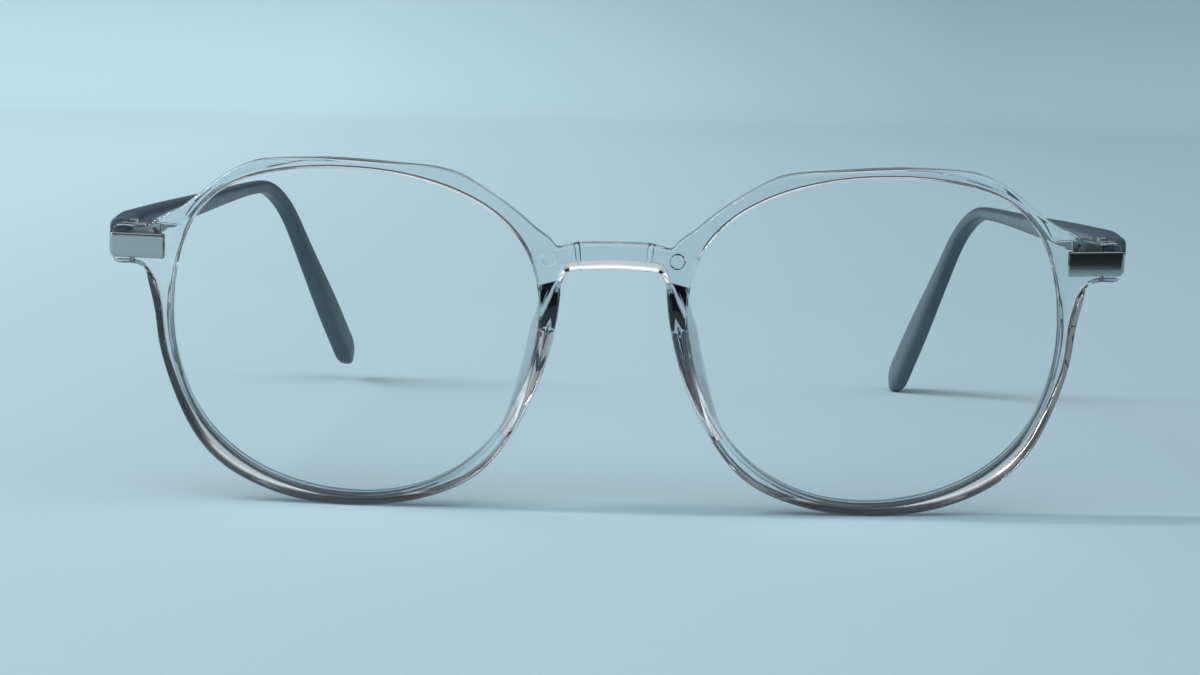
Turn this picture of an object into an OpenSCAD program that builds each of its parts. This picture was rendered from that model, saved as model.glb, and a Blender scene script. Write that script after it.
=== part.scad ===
// Eyeglasses with soft octagonal lenses, standing open on the rim bottoms and the temple tips.
// X to the right, Y to the back, Z up, millimetres. Left and right are as the photo shows them.

/* [Lenses] */
// Middle of the front to each lens centre
lens_x = 35.5; // [33:0.1:38]
// Lens centre to the top side of the rim opening
open_top = 23.2; // [21:0.1:25]
// Lens centre to the slanted side above the bridge
open_upper_nose = 25.7; // [24:0.1:27]
// Lens centre to the nose side
open_nose = 26.1; // [25:0.1:27]
// Lens centre to the slanted side beside the nose pads
open_lower_nose = 25.6; // [24:0.1:27]
// Lens centre to the bottom side
open_bottom = 24.2; // [22:0.1:26]
// Lens centre to the lower slanted side towards the temple
open_lower_temple = 24.7; // [23:0.1:26]
// Lens centre to the temple side
open_temple = 26.4; // [25:0.1:28]
// Lens centre to the slanted side under the end piece
open_upper_temple = 28; // [26.5:0.1:29]
// How sharply the eight sides turn into each other
octagon_sharpness = 5.6; // [4.5:0.1:9]
// Thickness of a lens
lens_thickness = 1.2; // [1:0.05:1.6]
// Depth of the groove that holds a lens
groove_depth = 0.7; // [0.5:0.05:0.9]
// Play of a lens in its groove
lens_play = 0.06; // [0.03:0.01:0.1]
// Radius of the front curve of the lenses
base_radius = 132; // [110:1:200]
// Angle by which each lens turns back at the temple, degrees
wrap_angle = 5; // [2:0.5:7]

/* [Rims and bridge] */
// Thickness of the moulded front, front to back
front_thickness = 3.2; // [2.8:0.1:4]
// Rounding of the outer edges of the front
edge_round = 0.45; // [0.2:0.05:0.6]
// Rounding of the lower front edge of the bridge
bridge_round = 0.95; // [0.3:0.05:1.2]
// Small chamfer round each opening
open_chamfer = 0.2; // [0.1:0.05:0.3]
// Width of the rim above the lens
rim_top = 1.25; // [1:0.05:2]
// Width of the rim at the corner above the nose
rim_upper_nose = 2.35; // [1.8:0.05:3]
// Width of the rim beside the nose
rim_nose = 2.4; // [1.8:0.05:3]
// Width of the rim at the corner below the nose
rim_lower_nose = 2.4; // [1.8:0.05:3]
// Width of the rim below the lens
rim_bottom = 1.75; // [1.3:0.05:2.5]
// Width of the rim at the lower corner towards the temple
rim_lower_temple = 2.75; // [2:0.05:3.2]
// Width of the rim at the temple side
rim_temple = 2.1; // [1.6:0.05:2.8]
// Width of the rim at the upper corner towards the temple
rim_upper_temple = 2.1; // [1.6:0.05:2.8]
// Top edge of the bridge above the lens centres
bridge_top = 13.1; // [12.6:0.1:14]
// Bottom edge of the bridge above the lens centres
bridge_bottom = 9.5; // [8.8:0.1:10]
// Forward lean of the front as it stands, degrees
front_lean = 3; // [0:0.5:6]

/* [Nose pads] */
// How far the moulded pads reach behind the rims
pad_reach = 5.6; // [4:0.1:7]
// How far the pads turn outward on the way back
pad_flare = 2; // [1.4:0.1:3]
// Thickness of a pad at its free edge
pad_edge = 1.5; // [1.1:0.1:2]
// Upper end of the pads, measured from the lens centres
pad_upper = 8; // [5:0.5:9]
// Lower end of the pads, measured from the lens centres
pad_lower = -16.5; // [-18:0.5:-12]

/* [End pieces] */
// Lens centre to the outer side of the plastic end pieces
end_reach = 34.1; // [33.4:0.1:35.5]
// Top of the end pieces above the lens centres
end_top = 13.75; // [13.4:0.05:14.4]
// Bottom of the end pieces above the lens centres
end_bottom = 8.4; // [7.8:0.05:8.7]
// Slope of the front face at the end pieces, back per millimetre outward
end_slope = 0.2; // [0.1:0.01:0.3]
// Thickness of the side wall that turns back beside the hinge
side_wall = 2.2; // [2:0.1:3]
// Length of the corner plate across the front
plate_length = 7.8; // [6:0.1:9]
// Height of the corner plate
plate_height = 3.3; // [2.4:0.1:3.6]
// Bottom edge of the corner plate above the lens centres
plate_bottom = 9.3; // [9.1:0.05:9.8]
// Thickness of the corner plate
plate_thickness = 1.2; // [0.8:0.05:1.4]
// Distance from the rear end of the plate's side arm to the joint
plate_set_back = 0.4; // [0.2:0.1:3]
// How far the plate stands proud of the plastic front
plate_proud = 0.1; // [0.05:0.05:0.2]
// How far the plate stands proud of the plastic side
plate_side_proud = 0.5; // [0.2:0.1:0.8]
// Clearance round the plate, the leaves and their screws
seat_gap = 0.04; // [0.02:0.01:0.08]

/* [Hinges] */
// Outer side of the end pieces to each hinge axis
hinge_inset = 3.9; // [3.6:0.1:4.2]
// Lens plane to the hinge axes and the joint with the temples
joint_y = 12.95; // [12.6:0.05:13.4]
// Height of the middle of the hinges above the table
hinge_z = 36.3; // [35.8:0.1:36.8]
// Radius of the knuckles
knuckle_radius = 1.25; // [1.1:0.05:1.35]
// Height of one knuckle
knuckle_height = 1.3; // [1:0.05:1.4]
// Gap between two knuckles
knuckle_gap = 0.06; // [0.03:0.01:0.1]
// Radius of the hinge screw's shaft
pin_radius = 0.6; // [0.5:0.05:0.7]
// Radial play of the hinge screw in the temple's knuckle
pin_play = 0.05; // [0.02:0.01:0.09]
// Thickness of the hinge leaves
leaf_thickness = 0.9; // [0.7:0.05:1]
// Depth at which the leaves are let into the plastic
leaf_seat = 0.5; // [0.3:0.05:0.6]
// Radius of the leaf screws' shafts
leaf_screw_radius = 0.5; // [0.4:0.05:0.6]
// Radius of the leaf screws' heads
leaf_head_radius = 0.75; // [0.65:0.05:0.8]
// Height of the leaf screws' heads
leaf_head_height = 0.35; // [0.25:0.05:0.45]
// Play between the front and the temples when open
joint_gap = 0.2; // [0.1:0.05:0.4]

/* [Temples] */
// Thickness of a temple at the hinge
arm_thickness = 4.2; // [3.6:0.1:4.6]
// Height of a temple at the hinge
arm_height = 3.6; // [3.4:0.1:4.6]
// Height of a temple a little behind the hinge
arm_height_front = 4.8; // [4.2:0.1:6]
// Thickness of a temple at its bend
bend_thickness = 2.7; // [2.3:0.1:3.4]
// Height of a temple at its bend
bend_height = 2.8; // [2.4:0.1:4]
// Thickness of the temple tip
tip_thickness = 3.2; // [2.6:0.1:4]
// Height of the temple tip
tip_height = 7.2; // [5.5:0.1:8]
// Height of a temple's middle line above the table at the hinge
arm_z = 36.9; // [36.5:0.1:37.4]
// Length from the hinge to the start of the bend
arm_straight = 90.7; // [84:0.1:98]
// Drop of the straight part, degrees
arm_drop = 1.1; // [0:0.1:3]
// Radius of the bend
bend_radius = 18; // [12:1:26]
// Angle of the tip below the level, degrees
tip_angle = 58.9; // [50:0.1:64]
// Inward run of the right temple per millimetre
toe_in_right = 0.06; // [0.03:0.002:0.08]
// Inward run of the left temple per millimetre
toe_in_left = 0.048; // [0.03:0.002:0.08]
// Inward run of the tips per millimetre
tip_inward = 0.265; // [0.15:0.005:0.3]
// Upward twist of the left temple, as the pictured pair has it, degrees
left_lift = 1.4; // [0:0.1:2]

/* [Hidden] */

clear_plastic = [0.74, 0.83, 0.87, 0.55];
clear_lens = [0.8, 0.9, 0.95, 0.25];
chrome = [0.75, 0.76, 0.77];
slate = [0.27, 0.34, 0.39];
steel = [0.6, 0.61, 0.62];

left = -1;
right = 1;
end_x = lens_x + end_reach;
hinge_x = end_x - hinge_inset;

// Opening: an octagon whose sides blend, seen from the front, 0 degrees towards the temple
side_distance = [open_temple, open_upper_temple, open_top, open_upper_nose,
  open_nose, open_lower_nose, open_bottom, open_lower_temple];
side_turn = [-18, 24, 85, 123, 183, 220, 260, 295];
function side_term(t, k, grow) =
  pow(max(0, cos(t - side_turn[k])) / (side_distance[k] + grow), octagon_sharpness);
function term_sum(t, grow, k = 0) =
  k > 7 ? 0 : side_term(t, k, grow) + term_sum(t, grow, k + 1);
function open_r(t, grow = 0) = pow(term_sum(t, grow), -1 / octagon_sharpness);

// Front surface: each rim lies on a sphere, the bridge and the end pieces carry on smoothly
sphere_x = lens_x - base_radius * tan(wrap_angle);
sphere_y = sqrt(pow(base_radius, 2) - pow(lens_x - sphere_x, 2));
bridge_half = 12;
end_start = lens_x + 23.5;
end_flat = end_x - plate_length + plate_side_proud;
end_level = plate_bottom + plate_height / 2;
function on_sphere(x, v) =
  sphere_y - sqrt(pow(base_radius, 2) - pow(x - sphere_x, 2) - v * v);
function sphere_slope(x, v) =
  (x - sphere_x) / sqrt(pow(base_radius, 2) - pow(x - sphere_x, 2) - v * v);
function bridge_depth(x, v) = on_sphere(bridge_half, v)
  + sphere_slope(bridge_half, v) * (x * x - bridge_half * bridge_half) / (2 * bridge_half);
start_slope = sphere_slope(end_start, end_level);
start_depth = on_sphere(end_start, end_level);
ease = end_flat - end_start;
function ease_depth(x) = start_depth + start_slope * (x - end_start)
  - (start_slope - end_slope) * pow(x - end_start, 2) / (2 * ease);
flat_depth = start_depth + (start_slope + end_slope) * ease / 2;
function end_share(x) = max(0, min(1, (x - end_start) / ease));
function end_depth(x, v) = x < end_flat
  ? ease_depth(x) + (on_sphere(end_start, v) - start_depth) * (1 - end_share(x))
  : flat_depth + end_slope * (x - end_flat);
function front_depth(x, v) = abs(x) < bridge_half ? bridge_depth(abs(x), v)
  : abs(x) > end_start ? end_depth(abs(x), v) : on_sphere(abs(x), v);

// Rim width round the opening: angle, width
rim_keys = [[-200, 3.8], [-193, 3.1], [-180, rim_nose], [-155, rim_nose * 0.8],
  [-131, rim_lower_nose], [-112, 1.08 * rim_bottom], [-92, rim_bottom],
  [-60, 0.88 * rim_lower_temple], [-42, rim_lower_temple], [-21, 0.95 * rim_temple],
  [-5, 1.07 * rim_temple], [5, 2.6], [14, 4], [26, 4.95], [34, 2.4],
  [42, 0.76 * rim_upper_temple], [57, rim_upper_temple], [73, 1.55], [90, rim_top],
  [105, 1.45], [121, rim_upper_nose], [136, 2.05], [148, 2.55], [156, 4.05]];
function slope_at(k) = k == 0 || k == len(rim_keys) - 1 ? 0.1
  : (rim_keys[k + 1][1] - rim_keys[k - 1][1]) / (rim_keys[k + 1][0] - rim_keys[k - 1][0]);
function rim_step(t, k) = let (w = rim_keys[k + 1][0] - rim_keys[k][0],
  q = (t - rim_keys[k][0]) / w)
  rim_keys[k][1] * (1 + 2 * q) * pow(1 - q, 2) + rim_keys[k + 1][1] * q * q * (3 - 2 * q)
  + w * q * (1 - q) * (slope_at(k) * (1 - q) - slope_at(k + 1) * q);
function rim_width(t, k = 0) =
  k + 2 >= len(rim_keys) || t <= rim_keys[k + 1][0] ? rim_step(t, k) : rim_width(t, k + 1);
function rim_point(t, m) = let (r = open_r(t) + rim_width(t))
  [r * cos(t), r * sin(t), m];

// Outline of half the front, seen from the lens centre: across, up, angle of the
// opening point that it is joined to. It starts and ends in the middle of the bridge.
end_a = end_x - lens_x;
bridge_run = [
  [-lens_x, bridge_top, 157.8],
  [1.6 - lens_x, bridge_top, 157.4],
  [3.2 - lens_x, bridge_top - 0.01, 156.9],
  [4.6 - lens_x, bridge_top - 0.08, 156.1],
  [5.6 - lens_x, bridge_top - 0.23, 155.5],
  [6.5 - lens_x, bridge_top - 0.47, 154.8]];
brow_run = [for (t = [155.8, 153.6, 151.2, 148.7]) rim_point(t, t - 0.9)];
upper_run = [for (t = [145.5:-4:33]) rim_point(t, t)];
temple_run = [
  rim_point(30.6, 30.6),
  rim_point(28.2, 28.4),
  [end_a - 5.1, end_top + 0.2, 26.4],
  [end_a - 4.2, end_top + 0.05, 25.6],
  [end_a - 3, end_top, 24.9],
  [end_a - 0.8, end_top, 24.3],
  [end_a - 0.22, end_top - 0.24, 23.9],
  [end_a, end_top - 0.8, 23.3],
  [end_a, (end_top + end_bottom) / 2, 21.8],
  [end_a, end_bottom + 0.8, 20.4],
  [end_a - 0.22, end_bottom + 0.24, 19.9],
  [end_a - 0.8, end_bottom, 19.3],
  [end_a - 2.7, end_bottom, 17.9],
  [end_a - 3.6, end_bottom - 0.15, 16.9],
  [end_a - 4.3, end_bottom - 0.5, 15.9],
  [end_a - 4.75, end_bottom - 1.05, 14.8]];
lower_run = [for (t = [11.8:-4:-189]) rim_point(t, t)];
nose_run = [
  rim_point(-191.8, -192.6),
  rim_point(-194.2, -195),
  [6.5 - lens_x, bridge_bottom - 0.9, -198],
  [6.2 - lens_x, bridge_bottom - 0.5, -199],
  [5.6 - lens_x, bridge_bottom - 0.28, -199.9],
  [4.4 - lens_x, bridge_bottom - 0.16, -200.7],
  [2.6 - lens_x, bridge_bottom - 0.07, -201.4],
  [1.2 - lens_x, bridge_bottom - 0.02, -201.9],
  [-lens_x, bridge_bottom, -202.2]];
run = concat(bridge_run, brow_run, upper_run, temple_run, lower_run, nose_run);
count = len(run);
function flat(p) = [p[0], p[1]];
// Along the outline, and square to it inward: it runs clockwise
function tangent(i) = i == 0 || i == count - 1 ? [i == 0 ? 1 : -1, 0]
  : let (w = flat(run[i + 1]) - flat(run[i - 1])) w / norm(w);
function inward(i) = let (w = tangent(i)) [w[1], -w[0]];

// The lower front edge of the bridge is rounder than the other edges
bridge_first = count - len(nose_run) + 1;
function front_round(i) = let (q = max(0, min(1, (i - bridge_first) / 4)))
  edge_round + (bridge_round - edge_round) * q * q * (3 - 2 * q);

// Cross-section rows: where across (1 at the outline, 0 at the opening), inset, depth
groove_front = 1;
groove_width = lens_thickness + 2 * lens_play;
back = front_thickness;
function rows(r) = [
  [0, open_chamfer, 0],
  [0, 0, open_chamfer],
  [0, 0, groove_front],
  [0, groove_depth, groove_front],
  [0, groove_depth, groove_front + groove_width],
  [0, 0, groove_front + groove_width],
  [0, 0, back - open_chamfer],
  [0, open_chamfer, back],
  [0.5, 0, back],
  [1, edge_round, back],
  [1, 0.29 * edge_round, back - 0.29 * edge_round],
  [1, 0, back - edge_round],
  [1, 0, r],
  [1, 0.29 * r, 0.29 * r],
  [1, r, 0],
  [0.5, 0, 0]];
m = len(rows(1));
inner_last = 7;
outer_first = 9;
outer_last = 14;
function inner_at(i, e) = let (t = run[i][2], r = open_r(t) + e) [r * cos(t), r * sin(t)];
function outer_at(i, e) = flat(run[i]) + e * inward(i);
function cell(i, w) = w[0] == 0 ? inner_at(i, w[1]) : w[0] == 1 ? outer_at(i, w[1])
  : (inner_at(i, open_chamfer) + outer_at(i, edge_round)) / 2;
// Round the opening the depth follows the lens, elsewhere the front surface
function section_point(i, w) = let (c = cell(i, w), x = lens_x + c[0])
  [x, (w[0] == 0 ? on_sphere(x, c[1]) : front_depth(x, c[1])) + w[2], c[1]];
half_points = [for (i = [0:count - 1], w = rows(front_round(i))) section_point(i, w)];
front_points = concat(half_points, [for (p = half_points) [-p[0], p[1], p[2]]]);

// The two halves share the points of the bridge's middle. The first and the last
// section of a half share the points of the opening.
function right_point(i, k) = (i == count - 1 && k <= inner_last ? 0 : i * m) + k;
function left_point(i, k) =
  (i == 0 || i == count - 1) && k >= outer_first && k <= outer_last
  ? right_point(i, k) : count * m + right_point(i, k);
function quad(a, b, c, d, flip) = flip ? [[a, c, b], [a, d, c]] : [[a, b, c], [a, c, d]];
function half_faces(side) = [
  for (i = [0:count - 2], k = [0:m - 1]) let (l = (k + 1) % m)
    each side == right
    ? quad(right_point(i, k), right_point(i + 1, k), right_point(i + 1, l), right_point(i, l), false)
    : quad(left_point(i, k), left_point(i + 1, k), left_point(i + 1, l), left_point(i, l), true),
  for (k = [inner_last, inner_last + 1, outer_last, m - 1])
    let (l = (k + 1) % m, e = count - 1)
    each side == right
    ? quad(right_point(e, k), right_point(0, k), right_point(0, l), right_point(e, l), false)
    : quad(left_point(e, k), left_point(0, k), left_point(0, l), left_point(e, l), true)];
function is_real(f) = f[0] != f[1] && f[1] != f[2] && f[2] != f[0];
front_faces = [for (side = [right, left], f = half_faces(side)) if (is_real(f)) f];

// Faces of an open tube of n sections of m points each, with its two ends
function tube_end(first, m, flip) = [for (k = [0:m / 2 - 2])
  each quad(first + k, first + k + 1, first + m - 2 - k, first + m - 1 - k, flip)];
function tube(n, m, flip) = concat(
  [for (i = [0:n - 2], k = [0:m - 1]) let (l = (k + 1) % m)
    each quad(i * m + k, i * m + m + k, i * m + m + l, i * m + l, flip)],
  tube_end(0, m, flip), tube_end((n - 1) * m, m, !flip));

// The front stands so that the lowest rim edge touches the table
function lean_z(p) = p[2] * cos(front_lean) + p[1] * sin(front_lean);
function lean_y(p) = p[1] * cos(front_lean) - p[2] * sin(front_lean);
lens_z = -min([for (p = half_points) lean_z(p)]);
front_y = min([for (p = half_points) lean_y(p)]);

// Temple: side profile and sideways run along its middle line
bend_length = bend_radius * (tip_angle - arm_drop) * PI / 180;
bend_start = [arm_straight * cos(arm_drop), -arm_straight * sin(arm_drop)];
bend_end = bend_start + bend_radius * [sin(tip_angle) - sin(arm_drop), cos(tip_angle) - cos(arm_drop)];
tip_length = (arm_z + bend_end[1] - tip_height / 2) / sin(tip_angle);
arm_length = arm_straight + bend_length + tip_length;
function arm_slope(s) = s < arm_straight ? arm_drop
  : s > arm_straight + bend_length ? tip_angle
  : arm_drop + (s - arm_straight) / bend_radius * 180 / PI;
function arm_line(s) = s < arm_straight ? s * [cos(arm_drop), -sin(arm_drop)]
  : s > arm_straight + bend_length
  ? bend_end + (s - arm_straight - bend_length) * [cos(tip_angle), -sin(tip_angle)]
  : bend_start + bend_radius * [sin(arm_slope(s)) - sin(arm_drop), cos(arm_slope(s)) - cos(arm_drop)];
turn_start = arm_straight - 12.7;
turn_end = arm_straight + 9.3;
function toe_in(side) = side == right ? toe_in_right : toe_in_left;
function sideways(s, side) = let (a = toe_in(side), w = turn_end - turn_start)
  s < turn_start ? -a * s
  : s < turn_end ? -a * s - (tip_inward - a) * pow(s - turn_start, 2) / (2 * w)
  : -a * turn_end - (tip_inward - a) * w / 2 - tip_inward * (s - turn_end);
height_keys = [[0, arm_height], [5, arm_height_front], [arm_straight, bend_height],
  [arm_straight + 10, 1.08 * bend_height], [arm_straight + 26, 0.7 * tip_height],
  [arm_length - 7, tip_height * 0.98], [arm_length, tip_height]];
thickness_keys = [[0, arm_thickness], [5, arm_thickness - 0.2],
  [30, (arm_thickness + bend_thickness) / 2 - 0.1], [arm_straight, bend_thickness],
  [arm_straight + 18, bend_thickness], [arm_length - 8, tip_thickness], [arm_length, tip_thickness]];
// The tip closes in a half circle beyond the end of the middle line
cap_turns = [22, 42, 58, 70, 79];
arm_stations = concat([0, 2.5, 5, 8, 14, 22], [for (s = [32:12:arm_straight - 12]) s],
  [for (q = [0:6]) arm_straight - 4 + q * (bend_length + 8) / 6],
  [for (q = [1:5]) arm_straight + bend_length + 4 + q * (tip_length - 4) / 5.5],
  [arm_length]);
section_count = 18;
section_power = 0.6;
function bulge(c) = (c < 0 ? -1 : 1) * pow(abs(c), section_power);
// A section of the arm: middle s along, extra run e beyond it, scaled by q
function arm_section(side, s, e, q) = let (c = arm_line(s), a = arm_slope(s),
  h = lookup(s, height_keys) / 2 * q, t = lookup(s, thickness_keys) / 2 * (0.35 + 0.65 * q))
  [for (k = [0:section_count - 1]) let (w = 360 * k / section_count,
    x = t * bulge(cos(w)), z = h * bulge(sin(w)))
    [side * (arm_x + sideways(s, side) - tip_inward * e) + x,
     joint_y + joint_gap + c[0] + e * cos(a) + z * sin(a),
     arm_z + c[1] - e * sin(a) + z * cos(a)]];
arm_inner = hinge_x + knuckle_radius + 0.25;
arm_x = arm_inner + arm_thickness / 2;
function arm_points(side) = concat(
  [for (s = arm_stations) each arm_section(side, s, 0, 1)],
  [for (w = cap_turns) each arm_section(side, arm_length, tip_height / 2 * sin(w), cos(w))]);
arm_ring_count = len(arm_stations) + len(cap_turns);
function lifted_y(p) = joint_y + (p[1] - joint_y) * cos(left_lift) - (p[2] - arm_z) * sin(left_lift);
rear_y = max(max([for (p = arm_points(right)) p[1]]), max([for (p = arm_points(left)) lifted_y(p)]));

// The part is centred front to back on its own box
shift_y = -(front_y + rear_y) / 2;

module placed() {
  translate([0, shift_y, 0]) children();
}

// Front pieces are drawn upright, depth along Y, heights from the lens centres
module leaned() {
  placed() translate([0, 0, lens_z]) rotate([front_lean, 0, 0]) children();
}

module mirrored(side) {
  if (side == right) children();
  else mirror([1, 0, 0]) children();
}

module both() {
  children();
  mirror([1, 0, 0]) children();
}

module rims() {
  polyhedron(points = front_points, faces = front_faces, convexity = 12);
}

// A pad: flat sections down the nose side of the rim, each with a root in the rim's back
pad_steps = 12;
pad_root = 0.5;
pad_sunk = 0.2;
pad_margin = 0.3;
pad_rise = 0.3;
// How far a pad stands out along its length: rising from the top, easing out to the bottom
function pad_share(q) = pow(min(1, q / pad_rise), 0.85) * (1 - pow(q, 3));
function pad_turn(v) = 180 - asin(v / (open_nose + rim_nose));
function pad_section(q) = let (t = pad_turn(pad_upper + (pad_lower - pad_upper) * q),
  r = open_r(t), w = rim_width(t - 360), u = [cos(t), sin(t)], r0 = r + w - pad_margin, r1 = r + pad_margin,
  y0 = on_sphere(lens_x + r0 * u[0], r0 * u[1]) + back, y1 = on_sphere(lens_x + r1 * u[0], r1 * u[1]) + back,
  g = pad_share(q), f = pad_flare * g, e = min(w - 2 * pad_margin, pad_edge), d = y0 + 0.2 + pad_reach * g)
  [for (p = [[r0, y0 - pad_root], [r0, y0 - pad_sunk], [r0 - f + 0.2 * g, d - 0.45 * g],
    [r0 - f - 0.3 * e, d], [r0 - f - 0.8 * e, d - 0.1 * g], [r0 - f - e - 0.15 * g, d - 0.6 * g],
    [r1, y1 - pad_sunk], [r1, y1 - pad_root]]) [lens_x + p[0] * u[0], p[1], p[0] * u[1]]];
pad_points = [for (k = [0:pad_steps]) each pad_section(0.02 + 0.96 * k / pad_steps)];

module nose_pad() {
  polyhedron(points = pad_points, faces = tube(pad_steps + 1, 8, false), convexity = 4);
}

// Plan of the end piece: the face line and the side line that runs back along the temple
function face_y(x, d) = flat_depth + end_slope * (x - end_flat) + d;
function side_x(y, d) = end_x - 0.04 - toe_in_right * max(0, y - face_y(end_x, back)) - d;
block_rear = joint_y + 3;
block_inner = side_wall;
module end_block() {
  sunk = 0.06;
  translate([0, 0, end_bottom + sunk]) linear_extrude(height = end_top - end_bottom - 2 * sunk)
    polygon([[end_x - 6, face_y(end_x - 6, 1)], [side_x(0, 1), face_y(end_x, 1)],
      [side_x(0, 0), face_y(end_x, 2)], [side_x(0, 0), face_y(end_x, back)],
      [side_x(block_rear, 0), block_rear], [side_x(block_rear, block_inner), block_rear],
      [side_x(face_y(end_x, 4), block_inner), face_y(end_x, 4)],
      [end_x - block_inner - 0.5, face_y(end_x - block_inner - 0.5, back - 0.4)],
      [end_x - 6, face_y(end_x - 6, back - 0.4)]]);
}

// The plate's outline in plan, grown by g
plate_x = end_x + plate_side_proud;
plate_back = (joint_y + plate_bottom * sin(front_lean)) / cos(front_lean) - plate_set_back;
plate_arm = plate_back - face_y(plate_x, 0);
module plate_plan(g) {
  t = plate_thickness + g;
  r = 0.8;
  polygon([[end_flat - g, face_y(end_flat, -plate_proud)],
    for (w = [-90:30:0]) [plate_x - r + r * cos(w), face_y(plate_x, r - plate_proud) + r * sin(w)],
    [plate_x - toe_in_right * plate_arm, plate_back],
    [plate_x - toe_in_right * plate_arm - t, plate_back],
    [plate_x - t, face_y(plate_x, t - plate_proud)],
    [end_flat - g, face_y(end_flat, t - plate_proud)]]);
}

// What the plate's slot removes: the plate's outline and everything outside it
module slot_plan() {
  t = plate_thickness + seat_gap;
  polygon([[end_flat - seat_gap, -20], [plate_x + 10, -20], [plate_x + 10, 40],
    [plate_x - toe_in_right * 30 - t, 40 - 10],
    [plate_x - toe_in_right * plate_arm - t, plate_back],
    [plate_x - t, face_y(plate_x, t - plate_proud)],
    [end_flat - seat_gap, face_y(end_flat, t - plate_proud)]]);
}

module corner_plate_shape() {
  round_r = 0.9;
  difference() {
    translate([0, 0, plate_bottom]) linear_extrude(height = plate_height) plate_plan(0);
    translate([plate_x - round_r, flat_depth - 2, plate_bottom + round_r]) rotate([-90, 0, 0])
      linear_extrude(height = plate_arm + 6) difference() {
        square([2, 2]);
        circle(r = round_r, $fn = 48);
      }
  }
}

// Local frame on the back of an end piece: across the face, back from it, up
module on_face() {
  translate([end_flat, flat_depth, 0]) rotate([0, 0, atan(end_slope)]) children();
}

// Heights of the hinge in the front's own upright frame
leaf_v = (hinge_z - lens_z) / cos(front_lean) - 0.5;
foot_start = 1.1;
foot_length = 3.9;
foot_height = 4.2;
foot_front = front_thickness - leaf_seat;
screw_across = 2.15;
screw_up = [-1.05, 1.05];
screw_floor = 0.4;
leaf_screw_length = foot_front - (plate_thickness - plate_proud) - seat_gap - screw_floor;

module leaf_foot(g) {
  translate([foot_start - g, foot_front - g, leaf_v - foot_height / 2 - g])
    cube([foot_length + 2 * g, leaf_thickness + (g > 0 ? 8 : 0), foot_height + 2 * g]);
}

module leaf_screw(length) {
  difference() {
    union() {
      cylinder(r = leaf_head_radius, h = leaf_head_height, $fn = 48);
      translate([0, 0, -length]) cylinder(r = leaf_screw_radius, h = length + 0.05, $fn = 48);
    }
    for (w = [0, 90]) rotate([0, 0, w])
      translate([-0.45, -0.09, leaf_head_height - 0.18]) cube([0.9, 0.18, 0.3]);
  }
}

module leaf_screw_bore(length) {
  translate([0, 0, -length - 0.1]) cylinder(r = leaf_screw_radius + seat_gap, h = length + 5, $fn = 48);
}

// Screw axis on the foot: the head sits on the foot's rear face and points back
module at_foot_screw(k) {
  on_face() translate([screw_across, foot_front + leaf_thickness, leaf_v + screw_up[k]])
    rotate([-90, 0, 0]) children();
}

module end_cuts() {
  translate([0, 0, plate_bottom - seat_gap])
    linear_extrude(height = plate_height + 2 * seat_gap) slot_plan();
  on_face() leaf_foot(seat_gap);
  for (k = [0, 1]) at_foot_screw(k) leaf_screw_bore(leaf_thickness + leaf_screw_length);
}

// Room behind the joint for the temples' front ends
module joint_cut() {
  placed() translate([-100, joint_y, 0]) cube([200, 30, 80]);
}

module front_frame() {
  color(clear_plastic) difference() {
    leaned() union() {
      rims();
      both() nose_pad();
      both() end_block();
    }
    leaned() both() end_cuts();
    joint_cut();
  }
}

module lens(side) {
  outline_steps = 90;
  lens_points = [for (k = [0:outline_steps - 1]) let (t = 360 * k / outline_steps,
    r = open_r(t) + groove_depth - lens_play - 0.04) [lens_x + r * cos(t), r * sin(t)]];
  front_face = groove_front + lens_play;
  color(clear_lens) leaned() mirrored(side) intersection() {
    translate([0, 20, 0]) rotate([90, 0, 0]) linear_extrude(height = 30) polygon(lens_points);
    difference() {
      translate([sphere_x, sphere_y + front_face, 0]) sphere(r = base_radius, $fn = 360);
      translate([sphere_x, sphere_y + front_face + lens_thickness, 0]) sphere(r = base_radius, $fn = 360);
    }
  }
}

module corner_plate(side) {
  color(chrome) leaned() mirrored(side) corner_plate_shape();
}

// Hinge frame: origin on the hinge axis at the joint, X outward, Y back
module at_hinge(side) {
  placed() mirrored(side) translate([hinge_x, joint_y, hinge_z]) children();
}

pitch = knuckle_height + knuckle_gap;
module knuckle(level) {
  translate([0, 0, level * pitch - knuckle_height / 2])
    cylinder(r = knuckle_radius, h = knuckle_height, $fn = 64);
}

web_start = -0.6;
web_width = 1.4;
web_sunk = 0.4;
web_length = joint_y - web_sunk
  - (face_y(hinge_x, foot_front) * cos(front_lean) - leaf_v * sin(front_lean));
module front_web(level) {
  translate([web_start, -web_length, level * pitch - knuckle_height / 2])
    cube([web_width, web_length, knuckle_height]);
}

head_radius = 0.95;
head_depth = 0.6;
pin_seat = seat_gap;
stack_top = pitch + knuckle_height / 2;
module pin_bores(play) {
  translate([0, 0, -2 * pitch]) cylinder(r = pin_radius + play, h = 4 * pitch, $fn = 64);
  translate([0, 0, stack_top - head_depth])
    cylinder(r = head_radius + seat_gap, h = 2, $fn = 64);
}

module front_leaf(side) {
  color(steel) union() {
    difference() {
      at_hinge(side) for (level = [-1, 1]) {
        knuckle(level);
        front_web(level);
      }
      at_hinge(side) pin_bores(pin_seat);
    }
    leaned() mirrored(side) difference() {
      on_face() leaf_foot(0);
      for (k = [0, 1]) at_foot_screw(k) leaf_screw_bore(leaf_thickness);
    }
  }
}

module front_leaf_screw(side, k) {
  color(steel) leaned() mirrored(side) at_foot_screw(k) leaf_screw(leaf_thickness + leaf_screw_length);
}

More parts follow.
